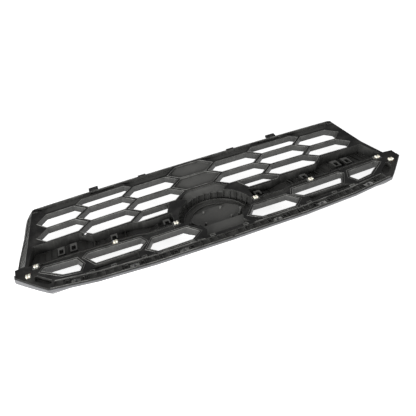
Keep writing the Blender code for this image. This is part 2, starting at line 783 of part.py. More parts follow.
def build_badge_base():
    """Plain oval plate that closes the badge pocket's front, and its rim."""
    front = -POCKET_DEEP - GAP
    plate = Shape()
    rings = []
    for shrink, w in ((0.0040, front - 0.0064), (0.0, front - 0.0048), (0.0, front)):
        points = ellipse(0.0, BADGE_MIDDLE, BADGE_LONG - shrink, BADGE_TALL - shrink, 48)
        rings.append([(u, v, w) for u, v in points])
    plate.loft(rings)
    finish(temporary(plate, "badge_base"), "badge_base", GLOSS, 0.12, 0.0)
    ring = Shape()
    outer, inner, crest = [], [], []
    for radius, store in ((BEZEL, outer), (GAP, inner), ((BEZEL + GAP) / 2, crest)):
        store.extend(ellipse(0.0, BADGE_MIDDLE, BADGE_LONG + radius, BADGE_TALL + radius, 48))
    steps = ((inner, 0.0), (outer, 0.0), (outer, 0.0040), (crest, 0.0070), (inner, 0.0040))
    levels = [
        [ring.mesh.verts.new((u, v, front - step)) for u, v in points]
        for points, step in steps
    ]
    for low, high in zip(levels, levels[1:] + levels[:1]):
        for i in range(48):
            j = (i + 1) % 48
            ring.mesh.faces.new((low[i], low[j], high[j], high[i]))
    bmesh.ops.recalc_face_normals(ring.mesh, faces=ring.mesh.faces)
    finish(temporary(ring, "badge_bezel"), "badge_bezel", SATIN, 0.15, 1.0)


# ---------------------------------------------------------------- fasteners
def build_clip(name, u, v):
    """Nylon sleeve round a garnish tongue, with a domed head."""
    shape = Shape()
    rings = []
    for shrink, w in ((0.0, -0.0110 + GAP), (0.0, 0.0010), (0.0006, 0.0024), (0.0018, CLIP_RISE)):
        long, wide = CLIP_LONG / 2 - shrink, CLIP_WIDE / 2 - shrink
        rings.append([(a, b, w) for a, b in squircle(u, v, long, wide, 20)])
    shape.loft(rings)
    thing = temporary(shape, name)
    slot = Shape()
    slot.prism(rectangle(u, v, TONGUE_LONG + 2 * GAP, TONGUE_THICK + 2 * GAP), -0.02, 0.0)
    slot.prism(rectangle(u, v, 0.0022, CLIP_WIDE * 1.4), 0.0008, 0.02)
    combine(thing, temporary(slot, "slot"), "DIFFERENCE")
    return finish(thing, name, CREAM, 0.45, 0.0, stations=False)


def squircle(middle_u, middle_v, half_u, half_v, count):
    """A rounded rectangle as a superellipse."""
    points = []
    for i in range(count):
        angle = 2.0 * math.pi * (i + 0.5) / count
        c, s = math.cos(angle), math.sin(angle)
        points.append(
            (
                middle_u + half_u * math.copysign(abs(c) ** 0.5, c),
                middle_v + half_v * math.copysign(abs(s) ** 0.5, s),
            )
        )
    return points


def build_retainer(name, u):
    """Corrugated spring-steel push nut over a stud of the lower garnish."""
    v = bottom_at(u) + WALL + STRIP_WIDTH / 2
    low = -STRIP_FLOOR + GAP
    waves = 12
    half = RETAINER_LONG / 2
    profile = []
    for i in range(waves + 1):
        a = -half + RETAINER_LONG * i / waves
        rise = 0.0 if i % 2 else 0.0016
        if abs(a) < 0.0040:
            rise = 0.0008
        profile.append((a, rise))
    tilt = math.atan2(bottom_at(u + 0.01) - bottom_at(u - 0.01), 0.02)
    along = (math.cos(tilt), math.sin(tilt))
    shape = Shape()
    rows = []
    for side in (-RETAINER_WIDE / 2, RETAINER_WIDE / 2):
        line = [(u + a * along[0] - side * along[1], v + a * along[1] + side * along[0], low + rise)
                for a, rise in profile]
        ring = line + [(x, y, z + RETAINER_THICK) for x, y, z in reversed(line)]
        rows.append(ring)
    verts = [[shape.mesh.verts.new(p) for p in ring] for ring in rows]
    count = len(verts[0])
    shape.mesh.faces.new(verts[0])
    shape.mesh.faces.new(list(reversed(verts[1])))
    for i in range(count):
        j = (i + 1) % count
        shape.mesh.faces.new((verts[0][i], verts[1][i], verts[1][j], verts[0][j]))
    bmesh.ops.recalc_face_normals(shape.mesh, faces=shape.mesh.faces)
    thing = temporary(shape, name)
    hole = Shape()
    hole.prism(ellipse(u, v, STUD_RADIUS + GAP, STUD_RADIUS + GAP, 16), -0.03, 0.02)
    combine(thing, temporary(hole, "hole"), "DIFFERENCE")
    return finish(thing, name, STEEL, 0.28, 1.0, stations=False)


def build_top_clip(name, side):
    """Folded spring-steel nut slid over a tab of the top rail."""
    u = side * TAB_PLACE
    thick = 0.0012
    under, over = -TAB_FRONT - GAP, TAB_THICK - TAB_FRONT + GAP
    start = TOP_EDGE + 0.0035
    stop = TOP_EDGE + TAB_REACH + GAP
    profile = [
        (start, over),
        (stop, over),
        (stop, under),
        (start, under),
        (start, under - thick),
        (stop + thick, under - thick),
        (stop + thick, over + thick),
        (start + 0.0030, over + thick),
        (start, over + thick + 0.0022),
        (start - 0.0006, over + thick + 0.0012),
    ]
    shape = Shape()
    ends = []
    for end in (-LOOP_LONG / 2, LOOP_LONG / 2):
        ends.append([shape.mesh.verts.new((u + end, v, w)) for v, w in profile])
    shape.mesh.faces.new(ends[0])
    shape.mesh.faces.new(list(reversed(ends[1])))
    for i in range(len(profile)):
        j = (i + 1) % len(profile)
        shape.mesh.faces.new((ends[0][i], ends[1][i], ends[1][j], ends[0][j]))
    bmesh.ops.recalc_face_normals(shape.mesh, faces=shape.mesh.faces)
    thing = temporary(shape, name)
    hole = Shape()
    hole.prism(rectangle(u, TOP_EDGE + TAB_REACH * 0.55, 0.0090, 0.0070), -0.04, 0.01)
    combine(thing, temporary(hole, "hole"), "DIFFERENCE")
    return finish(thing, name, (0.18, 0.18, 0.18), 0.4, 0.9, stations=False)


def main():
    for old in list(bpy.data.objects):
        bpy.data.objects.remove(old)
    build_body()
    for side, word in ((-1.0, "left"), (1.0, "right")):
        build_wing_garnish(side, "wing_garnish_" + word)
        for label, place in CLIP_PLACES.items():
            build_clip("spring_clip_%s_%s" % (label, word), side * place[0], place[1])
        for label, u in STUD_PLACES.items():
            build_retainer("push_retainer_%s_%s" % (label, word), side * u)
        build_top_clip("top_clip_" + word, side)
    build_lower_garnish()
    build_badge_base()
    things = [o for o in bpy.data.objects if o.type == "MESH"]
    corners = [v.co for o in things for v in o.data.vertices]
    low = Vector([min(c[i] for c in corners) for i in range(3)])
    high = Vector([max(c[i] for c in corners) for i in range(3)])
    shift = Vector((-(low.x + high.x) / 2, -(low.y + high.y) / 2, -low.z))
    for thing in things:
        for vert in thing.data.vertices:
            vert.co += shift
        thing.data.update()
    return shift


SHIFT = main()
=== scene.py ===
"""Looks of a car's front grille lying face down: moulded black plastic with its
clips, push retainers, gloss covers and satin lower trim, on a pale floor.

Every new surface is drawn in flat lattice coordinates (u along the length, v towards
the upper edge, w towards the rear) and bent by one function, bend.
"""

import math

import bmesh
import bpy
import numpy as np
from bpy.props import FloatProperty, FloatVectorProperty, IntProperty, PointerProperty
from mathutils import Matrix, Vector


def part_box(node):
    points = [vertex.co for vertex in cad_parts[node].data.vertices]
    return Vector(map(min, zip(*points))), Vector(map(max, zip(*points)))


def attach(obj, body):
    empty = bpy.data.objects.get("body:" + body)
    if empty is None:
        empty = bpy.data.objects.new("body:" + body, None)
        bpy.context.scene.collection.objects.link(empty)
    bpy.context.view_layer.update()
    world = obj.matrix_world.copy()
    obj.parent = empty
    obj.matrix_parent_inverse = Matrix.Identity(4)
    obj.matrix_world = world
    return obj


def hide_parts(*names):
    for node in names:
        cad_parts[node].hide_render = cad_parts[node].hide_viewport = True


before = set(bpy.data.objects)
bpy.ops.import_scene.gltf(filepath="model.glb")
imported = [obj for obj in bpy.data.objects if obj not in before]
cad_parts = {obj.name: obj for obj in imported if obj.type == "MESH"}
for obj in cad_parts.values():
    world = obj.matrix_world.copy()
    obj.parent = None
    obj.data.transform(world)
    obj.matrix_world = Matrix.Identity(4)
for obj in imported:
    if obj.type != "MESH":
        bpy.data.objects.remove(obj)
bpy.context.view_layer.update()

bl_info = {
    "name": "Front grille looks",
    "version": (1, 0, 0),
    "blender": (4, 5, 0),
    "location": "3D View > Sidebar > Grille",
    "description": "Surface detail, finishes and studio for a moulded front grille",
    "category": "Object",
}

# ---------------------------------------------------------------- the part's own form
FAN = 0.6276
ARCH = 0.1064
BOW = 0.080
TUCK_HIGH = 0.052
TUCK_LOW = 0.165
TUCK_OUT = (0.20, 0.12)
TUCK_UP = (0.24, 0.20)
TURN = math.atan(TUCK_UP[0] / (1.0 + TUCK_OUT[0]))
CELL_HALF = 0.02055
TIP_RUN = 0.0298
CENTRE_FLAT = 0.0355
COLUMN_FLAT = 0.0871
OUTER_FLAT = 0.371
OUTER_TIP = 0.396
LAND_FLAT = 0.0050
LAND_SLANT = 0.0068
TOP_EDGE = 0.0465
TOP_CUT = 0.0300
TOP_RIM = 0.0030
WALL = 0.0030
WING_TOP_INNER = -0.0910
WING_TOP_MIDDLE = -0.0815
WING_TOP_OUTER = -0.0600
WING_DEEP = 0.0300
WING_SHALLOW = 0.0210
WING_LOW = -0.1438
CHANNEL_FLOOR = 0.0030
POCKET_DEEP = 0.0330
POCKET_HALF = 0.0840
POCKET_RISE = 0.0660
POCKET_MIDDLE = -0.1280
STRIP_WIDTH = 0.0140
STRIP_FLOOR = 0.0070
FLANGE_SLOPE = 1.1
FLANGE_LINE = (0.4040, 0.11, 0.0300)  # u and slope of its inner line, and the v where u holds
FLANGE_FLOOR = 0.0030
BADGE_MIDDLE = -0.1120
BADGE_TALL = 0.0455
BADGE_FRONT = 0.0397
BADGE_CHAMFER = 0.0016
POCKET_CUT = (0.52, 0.0532)  # line u + 0.52 v = 0.0532 that cuts the cells beside the pocket
CLIP_PLACES = {
    "inner": (0.0925, -0.1262),
    "middle": (0.2270, -0.1225),
    "outer": (0.3955, -0.1150),
    "corner": (0.4120, -0.1330),
}
STUD_PLACES = {"inner": 0.1010, "middle": 0.2030, "outer": 0.3190}
SIDES = ((-1.0, "left"), (1.0, "right"))

# ---------------------------------------------------------------- added detail
BEAD_GAP = 0.0002  # land between an opening's edge and the foot of its bead
SPACING = 0.012  # longest straight run of a bent rib
STUD_ROOM = 0.0230  # space either side of a stud that the strip's dividers leave free
SEAT_STEP = 0.0168  # from a stud to the middle of the small box beside it
SLOT_MARGIN = 0.0046  # from a slot's edge to the line round it
CHANNEL_RUNS = ((0.0950, 0.1540), (0.1870, 0.2900), (0.3060, 0.4000))  # stretches with low ribs
HATCH_INNER = (0.4062, 0.0300, 0.105)  # u of the ribs' inner ends, the v it holds at and its slope
HATCH_OUTER = (0.4150, 0.0120, 0.225)  # the same for their outer ends

# ---------------------------------------------------------------- studio
AIM = (-0.00901, -0.11116, -0.02202)  # what the camera looks at, before the part's shift
WORLD_STRENGTH = 0.30
FLOOR_SPAN = 12.0
FLOOR_DROP = 0.0005
FLOOR_GLOW = 0.80
SENSOR = 36.0
LIGHTS = {  # place, size and power
    "key_softbox": ((-1.9, -1.3, 0.60), 1.0, 62.0),
    "fill_softbox": ((-0.2, -2.2, 0.55), 1.2, 26.0),
}


def tuck(v, rates):
    """Movement of the lower part: one rate from TUCK_HIGH to TUCK_LOW, one beyond."""
    near = np.clip(-np.asarray(v) - TUCK_HIGH, 0.0, TUCK_LOW - TUCK_HIGH)
    far = np.maximum(0.0, -np.asarray(v) - TUCK_LOW)
    return rates[0] * near + rates[1] * far


def turned(y, z):
    """The same point after the whole part turns by TURN about X."""
    return y * math.cos(TURN) - z * math.sin(TURN), y * math.sin(TURN) + z * math.cos(TURN)


def bent(points):
    """Flat lattice coordinates to the curved part, before it is set on the floor.

    x = u (1 - FAN v), y = v - tuck out - ARCH x x, z = w + tuck up + BOW x x, and then
    a turn by TURN about X that lays the badge level.
    """
    points = np.asarray(points, float)
    u, v, w = points[..., 0], points[..., 1], points[..., 2]
    x = u * (1.0 - FAN * v)
    y, z = turned(v - tuck(v, TUCK_OUT) - ARCH * x * x, w + tuck(v, TUCK_UP) + BOW * x * x)
    return np.stack([x, y, z], axis=-1)


def placement():
    """The shift onto the floor, read from the badge plate's upper edge and front face."""
    low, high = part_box("badge_base")
    upper = bent((0.0, BADGE_MIDDLE + BADGE_TALL, -BADGE_FRONT + BADGE_CHAMFER))
    front = bent((0.0, BADGE_MIDDLE, -BADGE_FRONT))
    return np.array([0.0, high.y - upper[1], low.z - front[2]])


SHIFT = placement()


def bend(points):
    """Flat lattice coordinates to the row frame: bent, then shifted onto the floor."""
    return bent(points) + SHIFT


# ---------------------------------------------------------------- properties
class GrilleMoulding(bpy.types.PropertyGroup):
    colour: FloatVectorProperty(
        name="Plastic colour",
        description="Base colour of the black moulding",
        subtype="COLOR",
        size=3,
        min=0.0,
        max=1.0,
        default=(0.041, 0.041, 0.039),
    )
    # Painted shade: a near-black colour laid on the flat rear lands where shade falls.
    land_shade_colour: FloatVectorProperty(
        name="Land colour",
        description="Colour of the smooth rear edges of the mesh",
        subtype="COLOR",
        size=3,
        min=0.0,
        max=1.0,
        default=(0.004, 0.004, 0.004),
    )
    bead_width: FloatProperty(
        name="Bead width",
        description="Width of the raised bead round each opening",
        unit="LENGTH",
        default=0.0015,
    )
    bead_height: FloatProperty(
        name="Bead height",
        description="Height of the raised bead above the land",
        unit="LENGTH",
        default=0.0009,
    )
    rounding: FloatProperty(
        name="Edge rounding",
        description="Radius that the light sees on moulded edges",
        unit="LENGTH",
        default=0.0007,
    )


class GrilleFasteners(bpy.types.PropertyGroup):
    nylon: FloatVectorProperty(
        name="Clip colour",
        description="Colour of the nylon spring clips",
        subtype="COLOR",
        size=3,
        min=0.0,
        max=1.0,
        default=(0.88, 0.85, 0.74),
    )
    clip_rise: FloatProperty(
        name="Clip rise",
        description="Height of a clip's head above the rear edge",
        unit="LENGTH",
        default=0.0060,
    )
    waves: IntProperty(
        name="Retainer waves",
        description="Number of corrugations along a push retainer",
        default=6,
        min=2,
        max=20,
    )
    wave_height: FloatProperty(
        name="Wave height",
        description="Height of a corrugation from valley to crest",
        unit="LENGTH",
        default=0.0016,
    )


class GrilleTrim(bpy.types.PropertyGroup):
    satin: FloatVectorProperty(
        name="Satin colour",
        description="Colour of the painted lower trim",
        subtype="COLOR",
        size=3,
        min=0.0,
        max=1.0,
        default=(0.105, 0.106, 0.110),
    )
    gloss: FloatVectorProperty(
        name="Gloss colour",
        description="Colour of the gloss covers",
        subtype="COLOR",
        size=3,
        min=0.0,
        max=1.0,
        default=(0.010, 0.010, 0.011),
    )


class GrilleStudio(bpy.types.PropertyGroup):
    azimuth: FloatProperty(
        name="Azimuth",
        description="Turn of the camera round the part, in degrees",
        default=-19.113,
    )
    elevation: FloatProperty(
        name="Elevation",
        description="Height of the camera above the horizon, in degrees",
        default=38.735,
    )
    roll: FloatProperty(
        name="Roll",
        description="Roll of the camera, in degrees",
        default=-5.528,
    )
    distance: FloatProperty(
        name="Distance",
        description="Distance from the camera to the point that it looks at",
        unit="LENGTH",
        default=1.7606,
    )
    lens: FloatProperty(
        name="Lens",
        description="Focal length in millimetres on a 36 mm sensor",
        default=64.932,
    )
    floor: FloatVectorProperty(
        name="Floor colour",
        description="Colour of the plain floor",
        subtype="COLOR",
        size=3,
        min=0.0,
        max=1.0,
        default=(0.90, 0.90, 0.90),
    )


# ---------------------------------------------------------------- outlines
def unit(vectors):
    """Each vector divided by its length."""
    return vectors / np.linalg.norm(vectors, axis=-1, keepdims=True)


def convex_outline(normals, limits):
    """Corners of the region where every normal . p <= limit, in turning order.

    All side lines are crossed in pairs, and the crossings that no side cuts off stay.
    """
    normals = np.asarray(normals, float)
    limits = np.asarray(limits, float)
    i, j = np.triu_indices(len(normals), 1)
    a, b = normals[i], normals[j]
    cross = a[:, 0] * b[:, 1] - a[:, 1] * b[:, 0]
    fine = np.abs(cross) > 1e-9
    a, b, cross, p, q = a[fine], b[fine], cross[fine], limits[i][fine], limits[j][fine]
    spots = np.stack([(p * b[:, 1] - q * a[:, 1]) / cross, (q * a[:, 0] - p * b[:, 0]) / cross], 1)
    inside = np.all(spots @ normals.T <= limits + 1e-7, axis=1)
    spots = np.unique(np.round(spots[inside], 7), axis=0)
    middle = spots.mean(0)
    return spots[np.argsort(np.arctan2(spots[:, 1] - middle[1], spots[:, 0] - middle[0]))]


def column_span(column):
    """Inner tip, inner flat end, outer flat end and outer tip of a lattice column."""
    if column == 0:
        return -CENTRE_FLAT - TIP_RUN, -CENTRE_FLAT, CENTRE_FLAT, CENTRE_FLAT + TIP_RUN
    start = CENTRE_FLAT + TIP_RUN + (column - 1) * (COLUMN_FLAT + TIP_RUN)
    if column == 3:
        return start - TIP_RUN, start, OUTER_FLAT, OUTER_TIP
    return start - TIP_RUN, start, start + COLUMN_FLAT, start + COLUMN_FLAT + TIP_RUN


def cell_opening(column, middle, grow=0.0, above=None, below=None):
    """Outline of a lattice cell inside its walls, grown outwards by grow.

    The level sides stand half the lattice pitch from the middle, and the slanted sides
    run from the flat's ends to the tips; each is moved in by half its wall.
    """
    tip_in, flat_in, flat_out, tip_out = column_span(column)
    h = CELL_HALF
    sides = []
    limits = []
    for sign in (-1.0, 1.0):
        sides.append((0.0, sign))
        limits.append(sign * middle + h - LAND_FLAT / 2 + grow)
        for tip, flat, way in ((tip_in, flat_in, -1.0), (tip_out, flat_out, 1.0)):
            run = abs(tip - flat)
            length = math.hypot(run, h)
            normal = (way * h / length, sign * run / length)
            sides.append(normal)
            limits.append(normal[0] * tip + normal[1] * middle - LAND_SLANT / 2 + grow)
    if above is not None:
        sides.append((0.0, 1.0))
        limits.append(above + grow)
    if below is not None:
        sides.append((0.0, -1.0))
        limits.append(-(below + WALL) + grow)
    if below == WING_TOP_INNER:
        slope, place = POCKET_CUT
        length = math.hypot(1.0, slope)
        sides.append((-1.0 / length, -slope / length))
        limits.append(-place / length + grow)
    return convex_outline(sides, limits)


def mirror(points):
    """The same points on the other side, in the opposite order."""
    points = np.array(points, float)[::-1]
    points[:, 0] *= -1.0
    return points


def open_cells(grow=0.0):
    """Openings of the mesh, both sides."""
    h = CELL_HALF
    cells = [
        (1, 0.0, None, None),
        (1, -2 * h, None, None),
        (1, -4 * h, None, WING_TOP_INNER),
        (2, h, TOP_CUT, None),
        (2, -h, None, None),
        (2, -3 * h, None, WING_TOP_MIDDLE),
        (3, 0.0, None, None),
        (3, -2 * h, None, WING_TOP_OUTER),
    ]
    right = [cell_opening(c, m, grow, above, below) for c, m, above, below in cells]
    return right + [mirror(points) for points in right]


def slot_outlines():
    """The three openings under the wing bar, on both sides."""
    _, _, flat_out, _ = column_span(1)
    top, low = -7.0 * CELL_HALF - LAND_FLAT / 2, -9.0 * CELL_HALF + LAND_FLAT / 2
    first = [
        (0.0570, -0.1670),
        (0.0770, low),
        (flat_out - 0.0020, low),
        (0.1680, -0.1670),
        (flat_out - 0.0005, top),
        (0.0770, top),
    ]
    second = [
        (0.1680, -0.1470),
        (0.1840, -0.1600),
        (0.2750, -0.1575),
        (0.2940, -0.1330),
        (0.2880, -0.1280),
        (0.1760, -0.1345),
    ]
    third = [
        (0.3020, -0.1490),
        (0.3090, -0.1630),
        (0.3430, -0.1570),
        (0.3840, -0.1305),
        (0.3800, -0.1255),
        (0.3130, -0.1315),
    ]
    right = [np.array(points) for points in (first, second, third)]
    return right + [mirror(points) for points in right]


def bottom_at(u):
    """v of the lower edge: straight runs between five knots."""
    knots = [0.0, 0.160, 0.276, 0.372, 0.438]
    return np.interp(np.abs(u), knots, [-0.2120, -0.2090, -0.1990, -0.1815, -0.1250])


def wing_floor(v):
    """w of the wing channel's floor, a plane that rises towards the lower edge."""
    t = (v - WING_TOP_INNER) / (WING_TOP_INNER - WING_LOW)
    return -WING_DEEP - (WING_DEEP - WING_SHALLOW) * t + CHANNEL_FLOOR


# ---------------------------------------------------------------- surfaces
def offset_line(path, steps, closed):
    """Path points moved to their left: p + step (n0 + n1) / (1 + n0 . n1) at each mitre."""
    path = np.asarray(path, float)
    before = np.roll(path, 1, axis=0)
    after = np.roll(path, -1, axis=0)
    if not closed:
        before[0] = 2 * path[0] - path[1]
        after[-1] = 2 * path[-1] - path[-2]
    first, second = unit(path - before), unit(after - path)
    n0 = np.stack([-first[:, 1], first[:, 0]], 1)
    n1 = np.stack([-second[:, 1], second[:, 0]], 1)
    mitre = (n0 + n1) / (1.0 + np.sum(n0 * n1, axis=1, keepdims=True))
    return path[:, None, :] + mitre[:, None, :] * np.asarray(steps)[None, :, None]


def densify(path, closed):
    """Extra points on each straight run, no further apart than SPACING."""
    path = np.asarray(path, float)
    ends = np.roll(path, -1, axis=0) if closed else path[1:]
    starts = path if closed else path[:-1]
    runs = []
    for start, end in zip(starts, ends):
        count = max(1, math.ceil(np.linalg.norm(end - start) / SPACING))
        runs.append(start + (end - start) * np.linspace(0.0, 1.0, count, False)[:, None])
    if not closed:
        runs.append(path[-1:])
    return np.concatenate(runs)


def carried(path, profile, level, closed):
    """A closed profile of (step to the left, height) pairs carried along a path.

    Point (i, j) = mitred path point i moved by step j, at level(u, v) + height j.
    """
    path = densify(path, closed)
    profile = np.asarray(profile, float)
    flat = offset_line(path, profile[:, 0], closed)
    base = level(path[:, 0], path[:, 1]) if callable(level) else np.full(len(path), level)
    w = base[:, None] + profile[None, :, 1]
    return np.dstack([flat, w])


def lens_profile(width, height, sink=0.0004):
    """Half-round section: five points on an arch above a sunk base."""
    angle = np.linspace(0.0, math.pi, 5)
    arch = np.stack([-np.cos(angle) * width / 2, np.sin(angle) * height], 1)
    return np.concatenate([[(-width / 2, -sink)], arch, [(width / 2, -sink)]])[::-1]


def box_profile(width, low, high, draft=0.0002):
    """Section of a moulded rib, a little narrower at its top."""
    half = width / 2
    return [(half, low), (half - draft, high), (-half + draft, high), (-half, low)]


def grid_faces(rows, columns, wrap_rows):
    """Four-sided faces of a tube of rows by columns points; its rows wrap where asked."""
    i, j = np.meshgrid(np.arange(rows if wrap_rows else rows - 1), np.arange(columns), indexing="ij")
    i, j = i.ravel(), j.ravel()
    here, there = i * columns, (i + 1) % rows * columns
    across = (j + 1) % columns
    return np.stack([here + j, here + across, there + across, there + j], 1)


class Piece:
    """Surfaces gathered into one closed-shell mesh."""

    def __init__(self):
        self.points = []
        self.faces = []
        self.count = 0

    def add(self, grid, wrap_rows=False):
        """A tube of flat points, bent, with its two open ends closed by flat faces."""
        rows, columns = grid.shape[:2]
        self.faces.extend((grid_faces(rows, columns, wrap_rows) + self.count).tolist())
        if not wrap_rows:
            first = np.arange(columns) + self.count
            self.faces.append(first.tolist())
            self.faces.append((first[::-1] + (rows - 1) * columns).tolist())
        self.points.append(bend(grid).reshape(-1, 3))
        self.count += rows * columns

    def rib(self, path, profile, level, closed=False):
        """A section carried along a path at a level, which may depend on u and v."""
        self.add(carried(path, profile, level, closed), closed)

    def ribs_both(self, path, profile, level, closed=False):
        """The same rib on the left and the right."""
        self.rib(path, profile, level, closed)
        self.rib(mirror(path), profile, level, closed)

    def stack(self, outline, levels):
        """An outline lofted through (growth, w) levels; growth moves it outwards."""
        growth, w = np.array(levels, float).T
        spans = offset_line(outline, -growth, True).swapaxes(0, 1)
        self.add(np.dstack([spans, np.tile(w[:, None], spans.shape[1])]))

    def stack_both(self, outline, levels):
        """The same loft on the left and the right."""
        self.stack(outline, levels)
        self.stack(mirror(outline), levels)

    def make(self, name, finish, slot, crisp=35.0):
        """The gathered surfaces as one object that rides on the part."""
        mesh = bpy.data.meshes.new(name)
        mesh.from_pydata(np.concatenate(self.points).tolist(), [], self.faces)
        shell = bmesh.new()
        shell.from_mesh(mesh)
        bmesh.ops.recalc_face_normals(shell, faces=shell.faces)
        shell.to_mesh(mesh)
        shell.free()
        mesh.polygons.foreach_set("use_smooth", np.ones(len(mesh.polygons), bool))
        mesh.set_sharp_from_angle(angle=math.radians(crisp))
        mesh.materials.append(finish)
        made = bpy.data.objects.new(name, mesh)
        bpy.context.scene.collection.objects.link(made)
        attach(made, "root")
        return made


# ---------------------------------------------------------------- shared shader groups
def new_group(name, inputs, outputs):
    """An empty shader group with named sockets."""
    tree = bpy.data.node_groups.new(name, "ShaderNodeTree")
    for label, kind, value in inputs:
        made = tree.interface.new_socket(name=label, in_out="INPUT", socket_type=kind)
        made.default_value = value
    for label, kind in outputs:
        tree.interface.new_socket(name=label, in_out="OUTPUT", socket_type=kind)
    return tree, tree.nodes.new("NodeGroupInput"), tree.nodes.new("NodeGroupOutput")


def math_node(tree, operation, first, second, clamp=False):
    """One Math node fed by sockets or numbers; returns its output."""
    node = tree.nodes.new("ShaderNodeMath")
    node.operation = operation
    node.use_clamp = clamp
    for place, value in enumerate((first, second)):
        if isinstance(value, (int, float)):
            node.inputs[place].default_value = value
        else:
            tree.links.new(value, node.inputs[place])
    return node.outputs[0]


def step_between(tree, value, low, high):
    """0 below low, 1 above high and smooth between."""
    node = tree.nodes.new("ShaderNodeMapRange")
    node.interpolation_type = "SMOOTHSTEP"
    tree.links.new(value, node.inputs["Value"])
    node.inputs["From Min"].default_value = low
    node.inputs["From Max"].default_value = high
    return node.outputs["Result"]


def ramp(tree, value, low, high, start, stop):
    """start below low, stop above high and a straight line between."""
    node = tree.nodes.new("ShaderNodeMapRange")
    tree.links.new(value, node.inputs["Value"])
    for label, number in (("From Min", low), ("From Max", high), ("To Min", start), ("To Max", stop)):
        node.inputs[label].default_value = number
    return node.outputs["Result"]


def noise(tree, coordinates, scale, detail):
    """The value of a noise texture read at the given coordinates."""
    node = tree.nodes.new("ShaderNodeTexNoise")
    node.inputs["Scale"].default_value = scale
    node.inputs["Detail"].default_value = detail
    node.inputs["Roughness"].default_value = 0.55
    tree.links.new(coordinates, node.inputs["Vector"])
    return node.outputs["Fac"]


def edge_group():
    """Rounded normal and a mask of the sharp edges, from a bevel of the given radius; the finishes use the
    mask for painted highlights.
    """
    tree, source, sink = new_group(
        "rounded_edges",
        [("Radius", "NodeSocketFloat", 0.0007)],
        [("Normal", "NodeSocketVector"), ("Edge", "NodeSocketFloat")],
    )
    bevel = tree.nodes.new("ShaderNodeBevel")
    bevel.samples = 6
    tree.links.new(source.outputs["Radius"], bevel.inputs["Radius"])
    geometry = tree.nodes.new("ShaderNodeNewGeometry")
    dot = tree.nodes.new("ShaderNodeVectorMath")
    dot.operation = "DOT_PRODUCT"
    tree.links.new(bevel.outputs["Normal"], dot.inputs[0])
    tree.links.new(geometry.outputs["True Normal"], dot.inputs[1])
    away = math_node(tree, "SUBTRACT", 1.0, dot.outputs["Value"])
    tree.links.new(bevel.outputs["Normal"], sink.inputs["Normal"])
    tree.links.new(step_between(tree, away, 0.02, 0.22), sink.inputs["Edge"])
    return tree


def grain_group():
    """Moulded grain: fine height, broad patches and streaks left by the tool."""
    tree, source, sink = new_group(
        "moulded_grain",
        [("Grain Size", "NodeSocketFloat", 1400.0)],
        [("Height", "NodeSocketFloat"), ("Patches", "NodeSocketFloat"), ("Streaks", "NodeSocketFloat")],
    )
    place = tree.nodes.new("ShaderNodeTexCoord")
    fine = tree.nodes.new("ShaderNodeTexNoise")
    fine.inputs["Detail"].default_value = 2.0
    tree.links.new(place.outputs["Object"], fine.inputs["Vector"])
    tree.links.new(source.outputs["Grain Size"], fine.inputs["Scale"])
    tree.links.new(fine.outputs["Fac"], sink.inputs["Height"])
    tree.links.new(noise(tree, place.outputs["Object"], 38.0, 4.0), sink.inputs["Patches"])
    stretch = tree.nodes.new("ShaderNodeMapping")
    stretch.inputs["Scale"].default_value = (420.0, 60.0, 30.0)
    stretch.inputs["Rotation"].default_value = (0.0, 0.0, 0.35)
    tree.links.new(place.outputs["Object"], stretch.inputs["Vector"])
    tree.links.new(noise(tree, stretch.outputs["Vector"], 1.0, 2.0), sink.inputs["Streaks"])
    return tree


def lattice_group():
    """Depth below the rear surface and how far a face turns up, from place and normal."""
    tree, _, sink = new_group(
        "lattice_depth",
        [],
        [("Depth", "NodeSocketFloat"), ("Up", "NodeSocketFloat")],
    )
    place = tree.nodes.new("ShaderNodeTexCoord")
    split = tree.nodes.new("ShaderNodeSeparateXYZ")
    tree.links.new(place.outputs["Object"], split.inputs[0])
    across = math_node(tree, "SUBTRACT", split.outputs["Y"], float(SHIFT[1]))
    above = math_node(tree, "SUBTRACT", split.outputs["Z"], float(SHIFT[2]))
    reach = math_node(
        tree,
        "ADD",
        math_node(tree, "MULTIPLY", across, math.cos(TURN)),
        math_node(tree, "MULTIPLY", above, math.sin(TURN)),
    )
    height = math_node(
        tree,
        "SUBTRACT",
        math_node(tree, "MULTIPLY", above, math.cos(TURN)),
        math_node(tree, "MULTIPLY", across, math.sin(TURN)),
    )
    square = math_node(tree, "MULTIPLY", split.outputs["X"], split.outputs["X"])
    droop = math_node(tree, "MULTIPLY", square, ARCH)
    down = math_node(tree, "SUBTRACT", -TUCK_HIGH, math_node(tree, "ADD", reach, droop))
    near = (TUCK_LOW - TUCK_HIGH) * (1.0 + TUCK_OUT[0])
    first = ramp(tree, down, 0.0, near, 0.0, (TUCK_LOW - TUCK_HIGH) * TUCK_UP[0])
    second = ramp(tree, down, near, near + 0.2, 0.0, 0.2 * TUCK_UP[1] / (1.0 + TUCK_OUT[1]))
    rise = math_node(tree, "MULTIPLY", square, BOW)
    level = math_node(tree, "ADD", rise, math_node(tree, "ADD", first, second))
    tree.links.new(math_node(tree, "SUBTRACT", level, height), sink.inputs["Depth"])
    geometry = tree.nodes.new("ShaderNodeNewGeometry")
    turn = tree.nodes.new("ShaderNodeSeparateXYZ")
    tree.links.new(geometry.outputs["True Normal"], turn.inputs[0])
    tree.links.new(turn.outputs["Z"], sink.inputs["Up"])
    return tree


